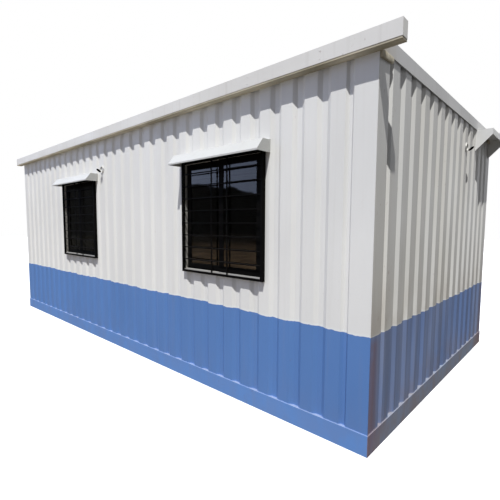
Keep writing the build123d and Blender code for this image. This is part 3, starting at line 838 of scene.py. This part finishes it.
def elbow(name, node):
    """Modelled against the long wall at the origin, then stood on its own wall."""
    low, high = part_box(node)
    on_long_wall = node.endswith("front")
    on_the_bench()
    bpy.ops.mesh.primitive_circle_add(vertices=28, radius=elbow_radius, location=(0, 0, 0), rotation=(math.radians(90), 0, 0))
    bend = bpy.context.object
    bpy.ops.object.transform_apply(location=True, rotation=True, scale=True)
    bpy.ops.object.mode_set(mode="EDIT")
    bpy.ops.mesh.select_all(action="SELECT")
    bpy.ops.mesh.extrude_region_move(TRANSFORM_OT_translate={"value": (0, -elbow_stub, 0)})
    bpy.ops.mesh.spin(steps=8, angle=elbow_turn, center=(0, -elbow_stub, -elbow_bend), axis=(1, 0, 0))
    aim = Vector((0, -math.cos(elbow_turn), -math.sin(elbow_turn)))
    bpy.ops.mesh.extrude_region_move(TRANSFORM_OT_translate={"value": aim * elbow_mouth})
    bpy.ops.mesh.select_all(action="SELECT")
    bpy.ops.mesh.remove_doubles(threshold=0.0001)
    bpy.ops.mesh.normals_make_consistent(inside=False)
    on_the_bench()
    take(bend)
    wall = bend.modifiers.new("wall", "SOLIDIFY")
    wall.thickness = elbow_wall
    wall.offset = -1
    bpy.ops.object.modifier_apply(modifier=wall.name)
    soften(bend, 0.0008, 2, 60)
    on_the_bench()
    bpy.ops.mesh.primitive_cylinder_add(vertices=32, radius=flange_radius, depth=flange_depth, location=(0, -flange_depth / 2, 0),
                                        rotation=(math.radians(90), 0, 0))
    flange = bpy.context.object
    bpy.ops.object.transform_apply(location=True, rotation=True, scale=True)
    pick(flange, "FACE", lambda middle, normal: abs(normal.y) > 0.9)
    bpy.ops.mesh.inset(thickness=flange_radius - elbow_radius + elbow_wall, depth=0)
    bpy.ops.mesh.bridge_edge_loops()
    on_the_bench()
    soften(flange, 0.001, 2, 40)
    made = joined(name, [bend, flange])
    end = Vector((0, -elbow_stub - elbow_bend * math.sin(elbow_turn), -elbow_bend * (1 - math.cos(elbow_turn))))
    on_the_bench()
    bpy.ops.mesh.primitive_cylinder_add(vertices=28, radius=elbow_radius - elbow_wall * 0.8, depth=0.006,
                                        location=end + aim * (elbow_mouth - 0.006),
                                        rotation=aim.to_track_quat("Z", "Y").to_euler())
    gland = bpy.context.object
    gland.name = name + "_gland"
    bpy.ops.object.transform_apply(location=True, rotation=True, scale=True)
    pick(gland, "FACE", lambda middle, normal: normal.dot(aim) > 0.9)
    bpy.ops.mesh.inset(thickness=0.004, depth=0.002)
    bpy.ops.mesh.inset(thickness=0.008, depth=-0.003)
    on_the_bench()
    soften(gland, 0.0005, 1, 40)
    screws = [steel_screw("screw", (side * (flange_radius + elbow_radius) / 2, -flange_depth, 0), 0.003,
                          (math.radians(90), 0, 0)) for side in (-1, 1)]
    flange_screws = joined(name + "_screws", screws)
    for piece in (made, gland, flange_screws):
        if on_long_wall:
            piece.location = ((low.x + high.x) / 2, high.y, high.z - flange_radius)
        else:
            piece.rotation_euler = (0, 0, math.radians(90))
            piece.location = (low.x, (low.y + high.y) / 2, high.z - flange_radius)
    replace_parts(fitted(made, elbow_plastic), node)
    fitted(gland, rubber)
    fitted(flange_screws, zinc_plate)


elbow("front_elbow_bend", "service_elbow_front")
elbow("right_elbow_bend", "service_elbow_right")

# The place: a pale studio floor and a white surround, a high, faintly warm sun from the front right, and soft light
# that is cool from the front and the left, white from behind and dim from the right, as on a clear day with the sun
# high over the near corner. What shines is given bare earth and a dark skyline to mirror, as the panes have in the open
# air.
floor_reach = 40.0
on_the_bench()
bpy.ops.mesh.primitive_plane_add(size=2 * floor_reach, location=(0, 0, -0.0005))
ground = bpy.context.object
ground.name = "studio_floor"
pale, tree, shader = new_material("studio_floor_paper", 0.9, specular=0.0)
rays = wire(tree, "LightPath", {})
place = wire(tree, "TexCoord", {})["Object"]
east = wire(tree, "SeparateXYZ", {0: place})["X"]
away = wire(tree, "VectorMath", {0: place}, operation="LENGTH")["Value"]
clods = ramp(tree, wire(tree, "TexNoise", {"Vector": place, "Scale": 1.6, "Detail": 5.0})[0], 0.36, 0.6)
earth = over(tree, clods, tone(214, 180, 140), tone(134, 112, 88))
earth = over(tree, ramp(tree, away, 9.0, 28.0), earth, tone(50, 44, 36))
spread = sums(tree, "ADD", east, sums(tree, "MULTIPLY", wire(tree, "SeparateXYZ", {0: place})["Y"], -1.3))
earth = over(tree, ramp(tree, spread, 5.0, -1.5), earth, tone(44, 40, 32))
earth = over(tree, ramp(tree, away, 8.5, 4.5), earth, tone(84, 76, 64))
earth = over(tree, ramp(tree, east, -1.0, 2.0), earth, tone(66, 63, 60))
bounce = over(tree, ramp(tree, east, 2.6, 4.2), tone(134, 128, 119), tone(70, 69, 68))
seen = sums(tree, "MAXIMUM", rays["Is Camera Ray"], rays["Is Transmission Ray"])
unseen = over(tree, rays["Is Glossy Ray"], bounce, earth)
tree.links.new(over(tree, seen, unseen, tone(240, 240, 240)), shader.inputs["Base Color"])
ground.data.materials.append(pale)

world = bpy.data.worlds.new("studio_surround")
bpy.context.scene.world = world
world.use_nodes = True
tree = world.node_tree
back = tree.nodes["Background"]
rays = wire(tree, "LightPath", {})
seen = sums(tree, "MAXIMUM", rays["Is Camera Ray"], rays["Is Transmission Ray"])
aim = wire(tree, "TexCoord", {})["Generated"]
compass = wire(tree, "SeparateXYZ", {0: aim})
fill = over(tree, ramp(tree, compass["X"], 0.0, 0.4), tone(171, 180, 210), tone(84, 85, 89))
fill = over(tree, ramp(tree, compass["Y"], 0.1, 0.5), fill, tone(224, 226, 232))
skyline = sums(tree, "ADD", compass["Z"], sums(tree, "MULTIPLY", compass["X"], 0.24))
ragged = ramp(tree, wire(tree, "TexNoise", {"Vector": aim, "Scale": 14.0, "Detail": 5.0})[0], 0.3, 0.7, -0.012, 0.012)
above = ramp(tree, sums(tree, "ADD", skyline, ragged), -0.083, -0.077)
open_sky = (1.3, 1.55, 2.2, 1.0)
mirrored = over(tree, above, tone(30, 27, 24), open_sky)
mirrored = over(tree, ramp(tree, compass["X"], -0.2, 0.3), mirrored, tone(84, 81, 78))
mirrored = over(tree, ramp(tree, compass["Y"], 0.05, 0.5), mirrored, tone(236, 238, 242))
lit = over(tree, rays["Is Glossy Ray"], fill, mirrored)
tree.links.new(over(tree, seen, lit, (1.0, 1.0, 1.0, 1.0)), back.inputs["Color"])
back.inputs["Strength"].default_value = 1.0

sun_travel = Vector((-0.55, 1.0, -2.38))
bpy.ops.object.light_add(type="SUN", location=(4, -6, 9))
sun = bpy.context.object
sun.name = "sun"
sun.data.energy = 4.8
sun.data.angle = math.radians(0.6)
sun.data.color = (1.0, 0.99, 0.97)
sun.rotation_mode = "QUATERNION"
sun.rotation_quaternion = sun_travel.to_track_quat("-Z", "Y")

# The view: a wide lens near the corner of the two walls, at the height of a person's chest.
bpy.ops.object.camera_add(location=(3.9656, -3.5663, 1.4034))
camera = bpy.context.object
aim = Euler((math.radians(90 - 4.782), 0, math.radians(42.293))).to_matrix() @ Matrix.Rotation(math.radians(0.307), 3, "Z")
camera.rotation_euler = aim.to_euler()
camera.data.sensor_width = 36.0
camera.data.lens = 26.527
camera.data.shift_x = -0.00627
camera.data.shift_y = 0.01139
camera.data.clip_start = 0.05
camera.data.clip_end = 400.0
bpy.context.scene.camera = camera
bpy.context.scene.view_settings.view_transform = "Standard"
